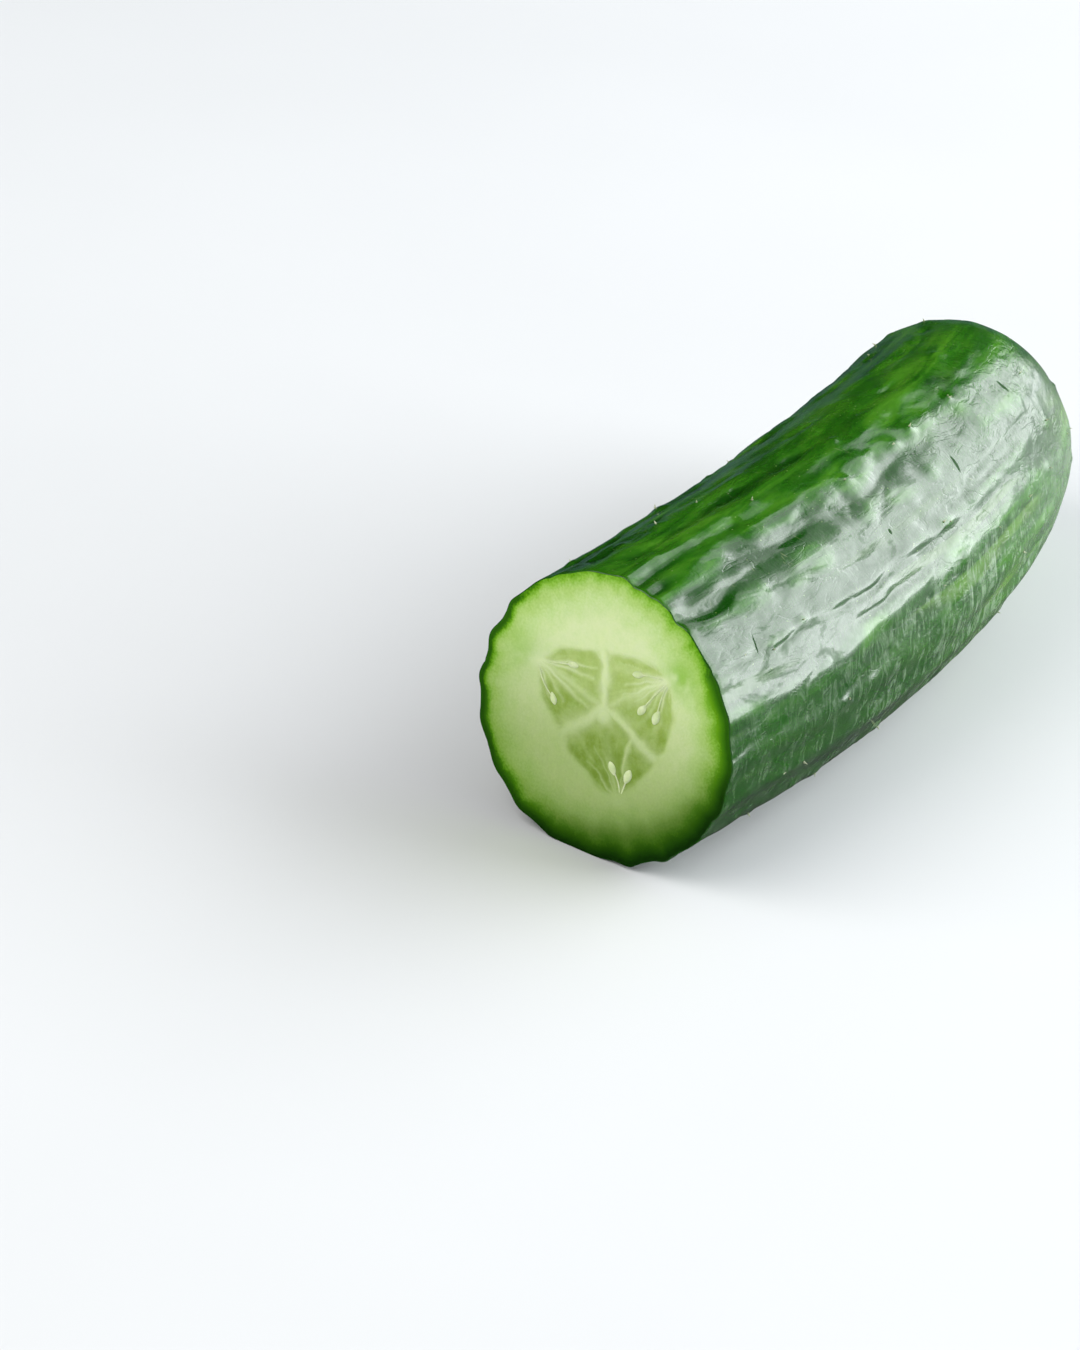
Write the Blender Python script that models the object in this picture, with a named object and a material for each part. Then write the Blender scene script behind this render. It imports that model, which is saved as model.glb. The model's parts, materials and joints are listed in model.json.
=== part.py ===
"""A long greenhouse cucumber, cut straight across and lying on its side.

The fruit grew as one piece, so it is one closed solid: a ribbed, slightly bent body
with a flat knife-cut face at its near end and a rounded blossom end at the other.

Frame: +X points from the cut face towards the blossom end, square to the cut, and
+Z is up. The fruit lies on Z = 0, with the origin in the middle of its bounding
box's base. Run with: blender --background --python part.py
"""

import math

import bmesh
import bpy
from mathutils import Vector

# Driving dimensions. Lengths are in metres, angles in degrees.
MM = 0.001
BODY_LENGTH = 164.0 * MM  # along the bent centre line, cut face to blossom end
GIRTH_RADII = (24.0 * MM, 24.4 * MM, 23.6 * MM, 19.7 * MM)  # at even steps along the length
OVAL_SHARE = 0.015  # the section is this share taller, and as much narrower, than a circle
CORNER_HEIGHT = 0.35 * MM  # a fruit with three seed chambers is faintly three-cornered
CORNER_TURN = -17.0  # where the first corner stands, measured from the side towards the top

BEND_START = 10.2  # turn of the centre line that grows evenly along the length
BEND_END = 15.8  # further turn that gathers towards the blossom end

TIP_LENGTH = 26.6 * MM  # stretch over which the blossom end rounds off
TIP_ROUNDNESS = 2.19  # 2 is an ellipse, more is blunter

RIB_COUNT = 20
RIB_HEIGHT = 0.55 * MM
RIB_TURN = 2.0  # where the first rib stands, measured as CORNER_TURN is
RIB_SHARPNESS = 1.5  # 1 is a plain wave, more makes crests narrower than the hollows
RIB_SWAY = 1.6  # sideways wander of the ribs along the fruit
RIB_FADE_START = 0.55  # share of the length where the ribs begin to fade
RIB_FADE = 0.85  # share of their height that the ribs lose by the tip
SWELL_HEIGHT = 0.30 * MM  # slow swellings along the fruit

REST_DEPTH = 0.90 * MM  # how far the underside is flattened where the fruit lies
SCAR_RADIUS = 3.0 * MM  # the blossom scar at the tip
SCAR_DEPTH = 0.5 * MM

# Mesh density
POINTS_PER_RIB = 4
BODY_RINGS = 24
TIP_RINGS = 9
LINE_STEPS = 400  # steps of the centre line's sum

SKIN_GREEN = (0.035, 0.16, 0.012, 1.0)
FLESH_GREEN = (0.58, 0.72, 0.30, 1.0)
SHARP_EDGE = 40.0  # the cut's rim is sharper than this, and the skin's ribs are softer


def heading(distance):
    """Direction of the centre line, in radians from +X towards +Y."""
    share = distance / BODY_LENGTH
    return math.radians(BEND_START * share + BEND_END * share**2)


def centre_line():
    """Points of the bent centre line at even steps, summed from its heading."""
    step = BODY_LENGTH / LINE_STEPS
    points = [Vector((0.0, 0.0, 0.0))]
    for i in range(LINE_STEPS):
        turn = heading((i + 0.5) * step)
        points.append(points[-1] + step * Vector((math.cos(turn), math.sin(turn), 0.0)))
    return points


def girth(distance):
    """Radius before the ribs and the rounded end: the smooth cubic through GIRTH_RADII."""
    share = distance / BODY_LENGTH
    knots = [i / (len(GIRTH_RADII) - 1) for i in range(len(GIRTH_RADII))]
    total = 0.0
    for i, radius in enumerate(GIRTH_RADII):
        weight = 1.0
        for j, knot in enumerate(knots):
            if j != i:
                weight *= (share - knot) / (knots[i] - knot)
        total += radius * weight
    return total


def tip_share(distance):
    """1 along the body, falling to 0 at the blossom end on a superellipse."""
    past = max(0.0, (distance - (BODY_LENGTH - TIP_LENGTH)) / TIP_LENGTH)
    return max(0.0, 1.0 - past**TIP_ROUNDNESS) ** (1.0 / TIP_ROUNDNESS)


def rib_relief(angle, share):
    """Height of the ribs: narrow rounded crests with wider hollows, fading towards the tip."""
    sway = math.radians(RIB_SWAY) * math.sin(8.0 * share + 2.0 * math.sin(angle))
    phase = 0.5 * RIB_COUNT * (angle - math.radians(RIB_TURN) + sway * min(1.0, 4.0 * share))
    crest = abs(math.cos(phase)) ** (2.0 * RIB_SHARPNESS)
    past_start = max(0.0, (share - RIB_FADE_START) / (1.0 - RIB_FADE_START))
    return RIB_HEIGHT * (1.0 - RIB_FADE * past_start) * (crest - 0.5)


def swell(angle, share):
    """Slow, uneven swellings of a grown fruit."""
    return SWELL_HEIGHT * (
        math.sin(2.0 * angle + 7.0 * share) * math.cos(9.0 * share - angle)
        + 0.6 * math.sin(3.0 * angle - 13.0 * share)
    )


def section_radius(distance, angle):
    """Distance from the centre line to the skin, the angle measured from the side to the top."""
    share = distance / BODY_LENGTH
    corners = CORNER_HEIGHT * math.cos(3.0 * (angle - math.radians(CORNER_TURN)))
    relief = corners + rib_relief(angle, share) + swell(angle, share)
    return tip_share(distance) * (girth(distance) + relief)


def ring_distances():
    """Places of the rings: even along the body, then closing up round the tip."""
    body_end = BODY_LENGTH - TIP_LENGTH
    along = [body_end * i / BODY_RINGS for i in range(BODY_RINGS + 1)]
    scar_turn = math.acos(SCAR_RADIUS / GIRTH_RADII[-1])
    for i in range(1, TIP_RINGS + 1):
        along.append(body_end + TIP_LENGTH * math.sin(scar_turn * i / TIP_RINGS))
    return along


def ring_points(distance, line):
    """One section of the skin, square to the centre line and flat where the fruit lies."""
    middle = line[round(distance / BODY_LENGTH * LINE_STEPS)].copy()
    middle.z = girth(distance) * (1.0 + OVAL_SHARE) - REST_DEPTH
    turn = heading(distance)
    side = Vector((math.sin(turn), -math.cos(turn), 0.0))
    count = RIB_COUNT * POINTS_PER_RIB
    points = []
    for i in range(count):
        angle = 2.0 * math.pi * i / count + math.radians(RIB_TURN)
        radius = section_radius(distance, angle)
        point = middle + side * (radius * math.cos(angle) * (1.0 - OVAL_SHARE))
        point.z += radius * math.sin(angle) * (1.0 + OVAL_SHARE)
        point.z = max(point.z, 0.0)
        points.append(point)
    return points


def add_ring(mesh, points):
    """The edges of a closed ring through these points."""
    verts = [mesh.verts.new(point) for point in points]
    return [mesh.edges.new((verts[i - 1], verts[i])) for i in range(len(verts))]


def cucumber_mesh():
    """The whole fruit as one closed mesh: cut face, ribbed skin and dimpled blossom scar."""
    mesh = bmesh.new()
    line = centre_line()
    rings = [add_ring(mesh, ring_points(distance, line)) for distance in ring_distances()]
    cut_face = bmesh.ops.contextual_create(mesh, geom=rings[0])["faces"][0]
    cut_face.material_index = 1
    for i in range(1, len(rings)):
        bmesh.ops.bridge_loops(mesh, edges=rings[i - 1] + rings[i])

    scar = bmesh.ops.contextual_create(mesh, geom=rings[-1])["faces"]
    dimple = bmesh.ops.poke(mesh, faces=scar)["verts"][0]
    turn = heading(BODY_LENGTH)
    dimple.co -= SCAR_DEPTH * Vector((math.cos(turn), math.sin(turn), 0.0))
    bmesh.ops.recalc_face_normals(mesh, faces=mesh.faces)
    return mesh


def base_middle(mesh):
    """The middle of the bounding box's base."""
    low = [min(vert.co[k] for vert in mesh.verts) for k in range(3)]
    high = [max(vert.co[k] for vert in mesh.verts) for k in range(3)]
    return Vector(((low[0] + high[0]) / 2, (low[1] + high[1]) / 2, low[2]))


def surface(name, colour, roughness):
    material = bpy.data.materials.new(name)
    material.use_nodes = True
    shader = material.node_tree.nodes["Principled BSDF"]
    shader.inputs["Base Color"].default_value = colour
    shader.inputs["Roughness"].default_value = roughness
    shader.inputs["Metallic"].default_value = 0.0
    return material


def main():
    for item in list(bpy.data.objects):
        bpy.data.objects.remove(item)

    mesh = cucumber_mesh()
    bmesh.ops.translate(mesh, verts=mesh.verts, vec=-base_middle(mesh))
    data = bpy.data.meshes.new("cucumber")
    mesh.to_mesh(data)
    mesh.free()
    data.materials.append(surface("cucumber_skin", SKIN_GREEN, 0.35))
    data.materials.append(surface("cucumber_flesh", FLESH_GREEN, 0.30))
    data.shade_smooth()
    data.set_sharp_from_angle(angle=math.radians(SHARP_EDGE))
    fruit = bpy.data.objects.new("cucumber", data)
    bpy.context.scene.collection.objects.link(fruit)


main()
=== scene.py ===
"""The looks of a long cucumber that has been cut straight across: its ribbed, waxy skin, the
wet flesh and seed chambers of the cut, the seeds, the spine stubs, the blossom scar, and a
plain pale studio. It is laid out as an add-on and run as a script.

Every shape is worked out in the fruit's own terms: the distance along its bent centre line
from the cut, the angle round it, measured from the side of the outer bend towards the top,
and the radius from the centre line. to_frame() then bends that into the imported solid's place.
"""

import itertools
import json
import math

import bpy
import numpy as np
from bpy.props import (
    FloatProperty,
    FloatVectorProperty,
    IntProperty,
    PointerProperty,
)
from bpy.types import Operator, Panel, PropertyGroup
from mathutils import Matrix, Vector


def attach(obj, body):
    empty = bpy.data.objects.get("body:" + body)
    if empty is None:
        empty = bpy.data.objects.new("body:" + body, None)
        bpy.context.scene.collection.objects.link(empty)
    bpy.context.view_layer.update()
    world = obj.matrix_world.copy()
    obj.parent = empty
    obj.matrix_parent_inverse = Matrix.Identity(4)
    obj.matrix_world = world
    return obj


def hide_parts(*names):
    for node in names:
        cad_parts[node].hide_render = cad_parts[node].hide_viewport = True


bl_info = {
    "name": "Cut Cucumber",
    "version": (1, 0, 0),
    "blender": (4, 5, 0),
    "location": "3D View > Sidebar > Cucumber",
    "description": "Builds the skin, cut flesh, seeds and studio of a cut cucumber round its packed solid",
    "category": "Add Mesh",
}

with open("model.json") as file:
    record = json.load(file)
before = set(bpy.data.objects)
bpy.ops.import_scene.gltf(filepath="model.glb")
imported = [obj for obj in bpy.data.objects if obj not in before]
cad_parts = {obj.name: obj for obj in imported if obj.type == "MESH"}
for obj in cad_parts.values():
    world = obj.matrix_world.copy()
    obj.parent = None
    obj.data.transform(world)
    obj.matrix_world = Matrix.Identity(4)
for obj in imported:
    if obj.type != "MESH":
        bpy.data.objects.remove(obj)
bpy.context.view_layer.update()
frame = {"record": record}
SOLID = "cucumber"
BODY = "root"

# The fruit's driving dimensions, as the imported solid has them. Lengths are in metres.
MM = 0.001
BODY_LENGTH = 164.0 * MM
GIRTH_RADII = (24.0 * MM, 24.4 * MM, 23.6 * MM, 19.7 * MM)
OVAL_SHARE = 0.015
CORNER_HEIGHT = 0.35 * MM
CORNER_TURN = math.radians(-17.0)
BEND_START = math.radians(10.2)
BEND_END = math.radians(15.8)
TIP_LENGTH = 26.6 * MM
TIP_ROUNDNESS = 2.19
RIB_COUNT = 20
RIB_TURN = math.radians(2.0)
RIB_SHARPNESS = 1.5
REST_DEPTH = 0.90 * MM
CUT_CENTRE = next(m["pos_m"] for m in frame["record"]["mounts"] if m["name"] == "cut_face")

# The shape of the skin where the solid leaves it plain
EDGE_ROUNDING = 0.16 * MM  # the knife leaves the rim of the cut this sharp
TIP_REACH = 1.0 * MM  # the tip is drawn this much fuller than the solid
DIMPLE_RADIUS = 3.2 * MM  # how far from the tip the blossom end is sunk in
REST_SOFTNESS = 0.3 * MM  # the flattened underside meets the round flank this softly
WORN_SIDE = math.radians(65.0)  # the ribs are lowest at this angle
RUMPLED_SIDE = math.radians(74.0)  # the pads are highest round this angle, near the cut
RUMPLED_SPREAD = math.radians(17.0)

# How finely the fruit's one mesh is drawn
AROUND = 18 * RIB_COUNT
FACE_RINGS = 84
BODY_RINGS = 146
TIP_RINGS = 40
CORE_RINGS_SHARE = 0.70  # this share of the rings of the cut lie over its seed core
CORE_SHARE = 0.60  # the seed core reaches this share of the way out
LINE_STEPS = 800
SEAM_ANGLE = -0.5 * math.pi  # the unrolled skin is slit along the underside

# The seed core of the cut, in millimetres and degrees, seen from the cut's own side with the
# outer bend to the right. The three chambers meet at the star. Each chamber has:
# node, the angle and reach, from the star, of the place that its seeds grow from;
# seam, how pale the line from the node to the star is;
# patch, how strong the green patch beyond the node is;
# glow, how pale the flesh round the node is, and how wide that is;
# wall, the angle and reach of the wall towards the next chamber, with its width and how pale
# the fork at its end is;
# threads, each with its turn from the line to the star, its length, its width, and how far
# along it a seed sits, or None.
STAR = (-0.4, 2.1)
CHAMBERS = (
    {
        "node": (166.0, 13.4),
        "seam": 0.32,
        "patch": 0.60,
        "glow": (0.90, 2.0),
        "wall": (227.7, 10.5),
        "wall_width": 1.60,
        "fork": 0.35,
        "threads": (
            (28.0, 10.8, 0.30, 0.60),
            (17.0, 10.4, 0.42, None),
            (-9.0, 10.6, 0.46, None),
            (-24.0, 7.5, 0.24, None),
            (-41.7, 6.3, 0.30, 1.0),
            (-56.0, 7.5, 0.22, None),
        ),
    },
    {
        "node": (290.8, 14.7),
        "seam": 0.15,
        "patch": 0.35,
        "glow": (0.80, 1.9),
        "wall": (334.0, 12.0),
        "wall_width": 1.15,
        "fork": 0.0,
        "threads": (
            (-32.9, 3.9, 0.28, 1.0),
            (-24.0, 11.0, 0.26, None),
            (6.0, 4.7, 0.24, 1.0),
            (20.0, 8.5, 0.22, None),
            (40.0, 7.4, 0.26, None),
        ),
    },
    {
        "node": (37.0, 14.0),
        "seam": 0.30,
        "patch": 1.00,
        "glow": (0.50, 1.3),
        "wall": (97.0, 9.4),
        "wall_width": 0.95,
        "fork": 0.35,
        "threads": (
            (-28.2, 5.8, 0.34, 1.0),
            (-15.0, 9.0, 0.30, None),
            (-4.0, 9.8, 0.34, None),
            (7.0, 8.6, 0.26, None),
            (19.5, 7.6, 0.30, 1.0),
            (40.7, 6.8, 0.28, 1.0),
        ),
    },
)

SIDE_WALL = ((331.0, 7.0), (299.5, 11.0))  # a wall inside a chamber: angle and reach of its ends
FORK_START = 0.75  # a wall forks at this share of its length
FORK_LENGTH = 0.32  # each branch is this share of the wall's length
FORK_SPREAD = 30.0  # and turns this far from it
PATCH_OFFSET = 2.4  # how far beyond its node the middle of a green patch is
PATCH_RADIUS = 3.0
FAN_RADIUS = 9.0  # how far the streaks round a node spread

# Folds of the skin that run lengthwise, in millimetres and degrees: where each starts and
# ends, its angle at both, its half width and its depth.
FOLDS = (
    (-4.0, 82.0, 36.5, 34.0, 0.60, 0.34),
    (37.0, 66.0, 27.5, 26.0, 0.80, 0.40),
    (-6.0, 31.0, 62.5, 65.0, 1.50, 0.95),
    (14.0, 46.0, 72.5, 69.0, 1.60, 0.75),
    (2.0, 18.0, 71.0, 73.0, 1.10, 0.50),
    (38.0, 56.0, 76.0, 74.0, 1.30, 0.50),
    (-5.0, 12.0, 78.0, 79.0, 1.00, 0.30),
    (56.0, 78.0, 66.0, 68.0, 1.00, 0.36),
    (68.0, 112.0, 43.0, 41.0, 0.55, 0.28),
    (84.0, 126.0, 47.5, 45.0, 0.50, 0.22),
    (52.0, 96.0, 90.0, 86.0, 1.00, -0.22),
    (-5.0, 32.0, 91.5, 89.0, 0.90, -0.20),
    (-6.0, 88.0, 112.0, 111.0, 1.60, 0.55),
    (3.0, 64.0, 100.0, 99.0, 1.40, 0.52),
    (54.0, 112.0, 98.5, 94.5, 1.40, 0.50),
    (-6.0, 46.0, 85.5, 85.5, 1.00, 0.32),
    (92.0, 140.0, 107.0, 105.0, 1.40, 0.34),
    (-6.0, 60.0, 124.0, 123.0, 1.30, 0.40),
    (48.0, 126.0, 127.0, 122.0, 1.30, 0.40),
    (20.0, 90.0, 205.0, 199.0, 0.60, 0.20),
    (50.0, 120.0, 158.0, 163.0, 0.60, 0.18),
    (5.0, 60.0, 318.0, 322.0, 0.60, 0.18),
    (70.0, 130.0, 352.0, 347.0, 0.60, 0.18),
)

# Round pits with a pimple in the middle: place along, angle, radius and depth.
PITS = (
    (70.0, 78.0, 1.50, 0.30),
    (55.0, 64.0, 1.40, 0.28),
    (84.5, 97.5, 1.30, 0.32),
    (66.5, 42.5, 0.90, 0.22),
    (97.0, 93.5, 0.90, 0.22),
    (31.0, 18.0, 1.00, 0.25),
    (48.0, 190.0, 1.30, 0.28),
    (102.0, 230.0, 1.20, 0.28),
    (76.0, 330.0, 1.20, 0.26),
)

# Short nicks through the wax, across the ribs: place along, angle, half length and half width.
NICK_LEAN = math.radians(12.0)  # how far a nick turns from square to the ribs
NICK_REACH = 2.0  # how far above and below the plain girth the mark of a nick goes
NICKS = (
    (86.4, 52.7, 2.0, 0.50),
    (120.6, 61.3, 1.6, 0.55),
    (12.6, 40.5, 1.9, 0.22),
    (58.0, 48.0, 0.6, 0.45),
    (92.0, 212.0, 1.6, 0.45),
    (40.0, 160.0, 1.4, 0.40),
)


# ---------------------------------------------------------------------------
# The fruit's own shape
# ---------------------------------------------------------------------------


def smoothstep(low, high, value):
    """0 below low, 1 above high, and 3t^2 - 2t^3 between them."""
    share = np.clip((value - low) / (high - low), 0.0, 1.0)
    return share * share * (3.0 - 2.0 * share)


def hashed(cell, seed):
    """A fixed number from -1 to 1 for each whole-number cell, by mixing its three indices."""
    cell = cell.astype(np.int64).astype(np.uint32)
    mixed = cell[..., 0] * np.uint32(73856093)
    mixed = mixed ^ (cell[..., 1] * np.uint32(19349663))
    mixed = mixed ^ (cell[..., 2] * np.uint32(83492791))
    mixed = mixed ^ np.uint32(seed * 2654435 + 97)
    mixed = (mixed ^ (mixed >> np.uint32(15))) * np.uint32(2246822519)
    mixed = (mixed ^ (mixed >> np.uint32(13))) * np.uint32(3266489917)
    mixed = mixed ^ (mixed >> np.uint32(16))
    return (mixed & np.uint32(0xFFFF)).astype(float) / 32767.5 - 1.0


def grain(point, seed):
    """Smooth noise from -1 to 1: the hashed corners of each unit cell, blended with
    6t^5 - 15t^4 + 10t^3 along each axis."""
    cell = np.floor(point)
    part = point - cell
    blend = part**3 * (part * (part * 6.0 - 15.0) + 10.0)
    total = np.zeros(point.shape[:-1])
    for corner in itertools.product((0, 1), repeat=3):
        weight = np.prod(np.where(corner, blend, 1.0 - blend), axis=-1)
        total += weight * hashed(cell + corner, seed)
    return total


def layered(point, layers, seed):
    """Grain summed over layers, each twice as fine and half as high as the one before."""
    total = np.zeros(point.shape[:-1])
    for layer in range(layers):
        total += grain(point * 2.03**layer, seed + layer) * 0.5**layer
    return total


def heading(distance):
    """Direction of the centre line, from +X towards +Y: a t + b t^2, t the share of the length."""
    share = distance / BODY_LENGTH
    return BEND_START * share + BEND_END * share**2


def centre_line(distance):
    """x and y of the centre line: the running sums of its heading's cosine and sine."""
    ends = np.linspace(0.0, BODY_LENGTH, LINE_STEPS + 1)
    turn = heading((ends[1:] + ends[:-1]) / 2.0)
    step = BODY_LENGTH / LINE_STEPS
    x = np.concatenate([[0.0], np.cumsum(np.cos(turn)) * step])
    y = np.concatenate([[0.0], np.cumsum(np.sin(turn)) * step])
    return np.interp(distance, ends, x), np.interp(distance, ends, y)


def girth(distance):
    """Radius before relief and the rounded tip: the cubic through GIRTH_RADII."""
    knots = np.linspace(0.0, 1.0, len(GIRTH_RADII))
    cubic = np.polyfit(knots, GIRTH_RADII, len(GIRTH_RADII) - 1)
    return np.polyval(cubic, distance / BODY_LENGTH)


def tip_share(distance):
    """1 along the body and (1 - e^n)^(1/n) over the tip, e running from 0 to 1 along it."""
    past = np.clip((distance - (BODY_LENGTH - TIP_LENGTH)) / TIP_LENGTH, 0.0, 1.0)
    return (1.0 - past**TIP_ROUNDNESS) ** (1.0 / TIP_ROUNDNESS)


def straight(distance, angle, radius):
    """The fruit unbent, in millimetres: distance along X, and the section in Y and Z."""
    return np.stack([distance, radius * np.cos(angle), radius * np.sin(angle)], -1) / MM


def to_frame(distance, angle, radius):
    """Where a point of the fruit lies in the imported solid's frame: the section stands square
    to the centre line, a little taller than wide, and flattens softly on the surface below."""
    x, y = centre_line(distance)
    turn = heading(distance)
    fuller = TIP_REACH * smoothstep(0.6 * BODY_LENGTH, BODY_LENGTH, distance)
    x, y = x + fuller * np.cos(turn), y + fuller * np.sin(turn)
    across = radius * np.cos(angle) * (1.0 - OVAL_SHARE)
    height = girth(distance) * (1.0 + OVAL_SHARE) - REST_DEPTH
    height = height + radius * np.sin(angle) * (1.0 + OVAL_SHARE)
    height = 0.5 * (height + np.sqrt(height**2 + REST_SOFTNESS**2))
    return np.stack(
        [
            CUT_CENTRE[0] + x + across * np.sin(turn),
            CUT_CENTRE[1] + y - across * np.cos(turn),
            height,
        ],
        -1,
    )


def warts(count):
    """Distance, angle, radius and height of each wart, on the crests of the ribs."""
    draw = np.random.default_rng(11)
    distance = draw.uniform(4.0 * MM, BODY_LENGTH - 14.0 * MM, count)
    rib = draw.integers(0, RIB_COUNT, count) + draw.normal(0.0, 0.10, count)
    angle = RIB_TURN + 2.0 * math.pi * rib / RIB_COUNT
    radius = draw.uniform(0.7, 1.5, count) * MM
    height = draw.uniform(0.12, 0.38, count) * MM
    return np.stack([distance, angle, radius, height], -1)


def rib_crest(distance, angle):
    """0 in the hollows between ribs and 1 on their crests, which wander as they grow."""
    share = distance / BODY_LENGTH
    spot = straight(distance, angle, GIRTH_RADII[0])
    sway = 0.028 * np.sin(8.0 * share + 2.0 * np.sin(angle))
    sway = sway + 0.055 * grain(spot / (26.0, 9.0, 9.0), 3)
    phase = 0.5 * RIB_COUNT * (angle - RIB_TURN + sway * np.minimum(1.0, 4.0 * share + 0.1))
    return np.abs(np.cos(phase)) ** (2.0 * RIB_SHARPNESS)


def turn_from(start, angle):
    """How far the angle lies from start, the short way round: from -pi to pi."""
    return (angle - start + math.pi) % (2.0 * math.pi) - math.pi


def skin_relief(distance, angle, fruit):
    """Height of the skin over the plain girth, in metres. It adds up:
    ribs, h (crest - 1/2), uneven from rib to rib, worn on one side, fading towards the tip;
    pads, two warped noises, higher where the skin is rumpled;
    creases, exp(-(n/w)^2) of a noise n stretched along the fruit, and of one stretched round
    it in patches; slow dents and fine grain;
    folds, exp(-(d/w)^2) of the distance d from each fold's line;
    pits, each a sunk bell with a narrower bell standing in its middle;
    three corners, h cos(3 a), and a bell exp(-(d/r)^2) for each wart."""
    share = distance / BODY_LENGTH
    spot = straight(distance, angle, GIRTH_RADII[0])
    fade = 1.0 - 0.80 * smoothstep(0.55, 0.97, share)
    worn = 0.5 + 0.5 * np.cos(angle - WORN_SIDE)
    uneven = (1.0 - 0.62 * worn**2) * (1.0 + 0.40 * grain(spot / (17.0, 6.0, 6.0), 5))
    relief = fruit.rib_height * fade * uneven * (rib_crest(distance, angle) - 0.5)

    warp = np.stack([grain(spot / (9.0, 6.0, 6.0), seed) for seed in (21, 22, 23)], -1)
    calm = 1.0 - 0.4 * smoothstep(0.70, 0.95, share)
    lengthwise = grain(spot / (15.0, 5.5, 5.5) + 0.60 * warp, 31)
    crosswise = grain(spot / (4.2, 8.0, 8.0) + 0.80 * warp, 43)
    broken = smoothstep(-0.10, 0.45, grain(spot / (8.0, 4.0, 4.0), 39))
    patches = smoothstep(-0.05, 0.40, grain(spot / (12.0, 9.0, 9.0), 41))
    creases = 0.7 * broken * np.exp(-((lengthwise / 0.07) ** 2))
    creases = creases + 0.35 * patches * np.exp(-((crosswise / 0.09) ** 2))
    rumpled = np.exp(-(((angle - RUMPLED_SIDE) / RUMPLED_SPREAD) ** 2))
    rumpled = rumpled * smoothstep(140.0, 35.0, distance / MM)
    pads = (0.55 + 0.65 * rumpled) * grain(spot / (8.5, 4.6, 4.6) + 0.8 * warp, 37)
    pads = pads + (0.15 + 0.12 * rumpled) * grain(spot / (3.2, 2.3, 2.3) + 0.9 * warp, 38)
    relief = relief + fruit.wrinkle_height * calm * (pads - creases)
    relief = relief + 0.12 * MM * layered(spot / (15.0, 10.0, 10.0), 2, 51)
    relief = relief + 0.010 * MM * grain(spot / (1.5, 0.8, 0.8), 61)
    for start, stop, turn, last_turn, width, depth in FOLDS:
        part = np.clip((distance / MM - start) / (stop - start), 0.0, 1.0)
        line = np.radians(turn + (last_turn - turn) * part)
        around = turn_from(line, angle)
        apart = around * GIRTH_RADII[0] / MM + 0.9 * warp[..., 0] + 0.5 * pads
        ends = smoothstep(start, start + 6.0, distance / MM) * smoothstep(stop, stop - 9.0, distance / MM)
        valley = ends * (0.6 + 0.4 * broken) * np.exp(-((apart / width) ** 2))
        relief = relief - depth * MM * valley
    for place, turn, radius, depth in PITS:
        around = turn_from(math.radians(turn), angle)
        apart = np.hypot(distance / MM - place, around * GIRTH_RADII[0] / MM) / radius
        relief = relief + depth * MM * (1.3 * np.exp(-((apart / 0.42) ** 2)) - np.exp(-(apart**2)))

    corners = CORNER_HEIGHT * np.cos(3.0 * (angle - CORNER_TURN))
    for place, turn, radius, height in warts(fruit.wart_count):
        around = turn_from(turn, angle)
        apart = ((distance - place) / 1.3) ** 2 + (around * girth(place)) ** 2
        relief = relief + height * np.exp(-apart / radius**2)
    return relief + corners


def skin_radius(distance, angle, fruit):
    return tip_share(distance) * (girth(distance) + skin_relief(distance, angle, fruit))


# ---------------------------------------------------------------------------
# The cut face
# ---------------------------------------------------------------------------


def toward(start, angle, reach):
    """The point at this angle in degrees and this reach from start."""
    turn = math.radians(angle)
    return (start[0] + reach * math.cos(turn), start[1] + reach * math.sin(turn))


def spot_mark(across, up, centre, radius):
    """A soft round mark: exp(-(d/r)^2)."""
    return np.exp(-((across - centre[0]) ** 2 + (up - centre[1]) ** 2) / radius**2)


def core_reach(angle):
    """How far the seed core reaches from the star: w + (n - w) t^2.2, where w is the reach of
    the nearest wall, n of the nearest node, and t runs from 0 at the wall to 1 at the node."""
    keys = sorted(
        (chamber[key][0] % 360.0, chamber[key][1], key == "node")
        for chamber in CHAMBERS
        for key in ("node", "wall")
    )
    keys = [(keys[-1][0] - 360.0, *keys[-1][1:]), *keys, (keys[0][0] + 360.0, *keys[0][1:])]
    turns, reaches, nodes = (np.array(column, float) for column in zip(*keys, strict=True))
    turn = np.degrees(angle) % 360.0
    after = np.clip(np.searchsorted(turns, turn), 1, len(turns) - 1)
    share = (turn - turns[after - 1]) / (turns[after] - turns[after - 1])
    toward_node = np.where(nodes[after] > 0.5, share, 1.0 - share)
    wall = np.where(nodes[after] > 0.5, reaches[after - 1], reaches[after])
    node = np.where(nodes[after] > 0.5, reaches[after], reaches[after - 1])
    return wall + (node - wall) * toward_node**2.2


def soft_wall(across, up, start, end, width):
    """A wall that fades into the gel on both sides: 1 / (1 + (d/w)^2)^2, d from its segment."""
    run, rise = end[0] - start[0], end[1] - start[1]
    share = ((across - start[0]) * run + (up - start[1]) * rise) / (run**2 + rise**2)
    share = np.clip(share, 0.0, 1.0)
    apart = (across - start[0] - share * run) ** 2 + (up - start[1] - share * rise) ** 2
    return (1.0 + apart / width**2) ** -2.0


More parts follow.
